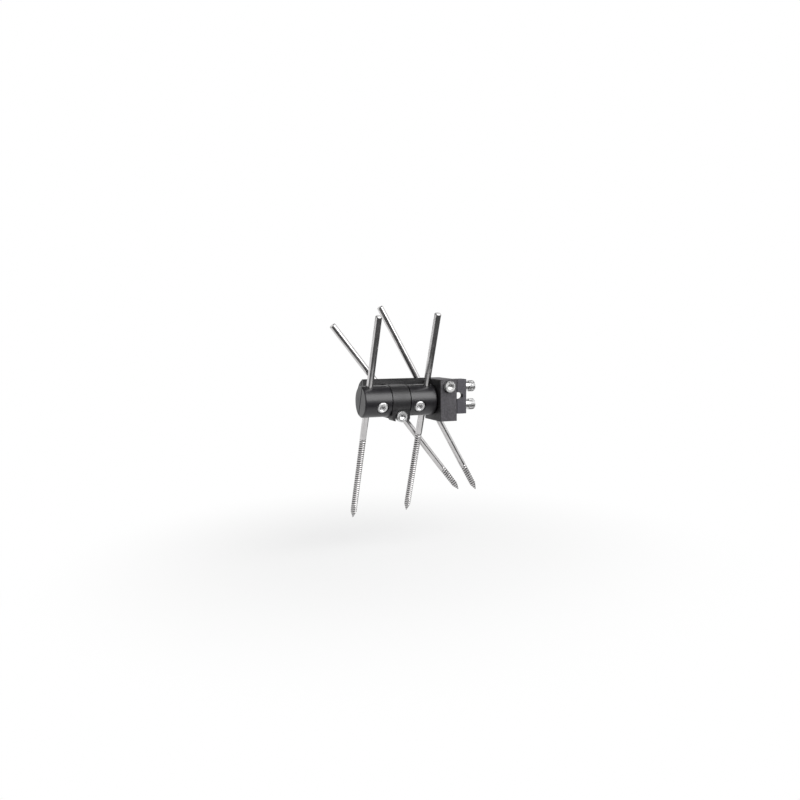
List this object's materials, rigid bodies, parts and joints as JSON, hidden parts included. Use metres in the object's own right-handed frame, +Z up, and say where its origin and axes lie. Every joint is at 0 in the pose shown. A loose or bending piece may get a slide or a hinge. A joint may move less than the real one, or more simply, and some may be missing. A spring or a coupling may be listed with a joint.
{
  "type": "external fixator",
  "caption": "Compact external fixator: black clamp body with swivelling slit clamps and a bolted jaw, holding long threaded half-pins, with a grooved side clamp for a further pin.",
  "frame": {"origin": "centre of the straight part of the accessory groove, on the axis of the pin it takes", "axes": "+X along the swivel shaft from the left clamp to the block, +Y rearward from the slit clamps to the jaw, +Z up"},
  "size_m": [0.1449, 0.0771, 0.1968],
  "materials": {
    "body_black": "bead-blasted black anodised",
    "clamp_black": "satin black anodised",
    "cap_black": "satin black anodised",
    "seat_black": "satin black anodised",
    "screw_steel": "bright stainless",
    "pin_steel": "polished stainless",
    "shaft_steel": "ground steel"
  },
  "bodies": {
    "frame": {"main_body": "body_black", "rear_jaw": "body_black", "swivel_shaft": "shaft_steel", "hub_bolt": "screw_steel", "block_bolt": "screw_steel", "clamp_cap": "cap_black", "cap_bolt_upper": "screw_steel", "cap_bolt_lower": "screw_steel", "cap_collar_upper": "screw_steel", "cap_collar_lower": "screw_steel", "left_jaw_dowel": "shaft_steel", "right_jaw_dowel": "shaft_steel"},
    "left_clamp": {"left_pin_clamp": "clamp_black", "left_clamp_screw": "screw_steel"},
    "right_clamp": {"right_pin_clamp": "clamp_black", "right_clamp_screw": "screw_steel"},
    "left_seat": {"left_pin_seat": "seat_black"},
    "right_seat": {"right_pin_seat": "seat_black"},
    "left_straight": {"left_straight_pin": "pin_steel"},
    "right_straight": {"right_straight_pin": "pin_steel"},
    "left_slanted": {"left_slanted_pin": "pin_steel"},
    "right_slanted": {"right_slanted_pin": "pin_steel"}
  },
  "joints": [
    {"name": "left_clamp_swivel", "type": "hinge", "parent": "frame", "child": "left_clamp", "pos_m": [-0.0641, 0.0155, -0.0037], "axis": [1, 0, 0], "range_deg": [-40, 8]},
    {"name": "right_clamp_swivel", "type": "hinge", "parent": "frame", "child": "right_clamp", "pos_m": [-0.0441, 0.0155, -0.0037], "axis": [1, 0, 0], "range_deg": [-40, 2]},
    {"name": "left_seat_swivel", "type": "hinge", "parent": "frame", "child": "left_seat", "pos_m": [-0.05217, 0.0395, -0.0037], "axis": [0, 1, 0], "range_deg": [-2, 4]},
    {"name": "right_seat_swivel", "type": "hinge", "parent": "frame", "child": "right_seat", "pos_m": [-0.01357, 0.0395, -0.0037], "axis": [0, 1, 0], "range_deg": [-4, 1]},
    {"name": "left_straight_slide", "type": "slide", "parent": "left_clamp", "child": "left_straight", "axis": [0, -0.3665, 0.9304], "range_m": [-0.03, 0.02]},
    {"name": "right_straight_slide", "type": "slide", "parent": "right_clamp", "child": "right_straight", "axis": [0, -0.3665, 0.9304], "range_m": [-0.03, 0.02]},
    {"name": "left_slanted_slide", "type": "slide", "parent": "left_seat", "child": "left_slanted", "axis": [-0.6216, 0, 0.7834], "range_m": [-0.015, 0.03]},
    {"name": "right_slanted_slide", "type": "slide", "parent": "right_seat", "child": "right_slanted", "axis": [-0.4885, 0, 0.8726], "range_m": [-0.015, 0.03]}
  ]
}
